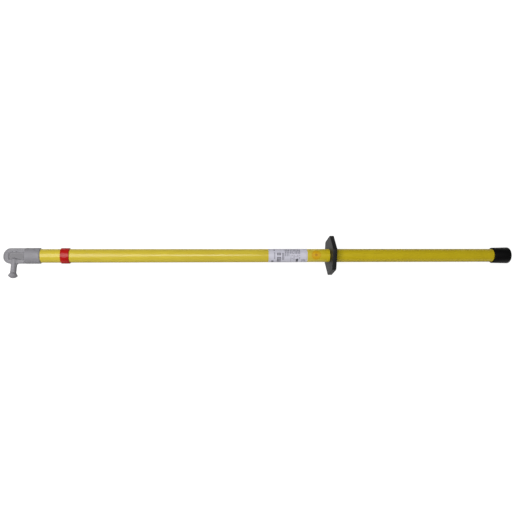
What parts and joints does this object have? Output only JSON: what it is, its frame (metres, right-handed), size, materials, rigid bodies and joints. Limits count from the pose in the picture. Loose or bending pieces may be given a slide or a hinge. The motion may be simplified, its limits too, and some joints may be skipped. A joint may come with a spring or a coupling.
{
  "type": "lineman hot stick",
  "caption": "Short insulating switch stick: yellow foam-filled tube with a grey pegged head, red ring, hexagonal hand guard and rubber end cap.",
  "frame": {"origin": "centre of the end cap's flat foot", "axes": "+X out of the cap along the stick, so the head is at -X; the peg of the head points along -Y; Z is normal to the flat sides of the head"},
  "size_m": [1.1456, 0.0905, 0.0914],
  "materials": {
    "tube_yellow": "yellow gel-coated fibreglass, semi-gloss",
    "foam": "closed-cell foam",
    "plug": "moulded nylon",
    "head_grey": "fine matte grey coating on a light-alloy casting",
    "pin_steel": "plain spring steel",
    "ring_red": "semi-gloss red",
    "guard_rubber": "moulded black rubber, slightly dusty",
    "label": "laminated label",
    "sticker_orange": "vinyl sticker",
    "cap_rubber": "smooth black rubber"
  },
  "bodies": {
    "stick": {"insulating_tube": "tube_yellow", "foam_core": "foam", "head_end_plug": "plug", "handle_end_plug": "plug", "working_head": "head_grey", "head_cross_pins": "pin_steel", "red_ring": "ring_red", "hand_guard": "guard_rubber", "rating_label": "label", "inspection_sticker": "sticker_orange"},
    "cap": {"end_cap": "cap_rubber"}
  },
  "joints": [
    {"name": "cap_pull_off", "type": "slide", "parent": "stick", "child": "cap", "axis": [1, 0, 0], "range_m": [0, 0.045]}
  ]
}
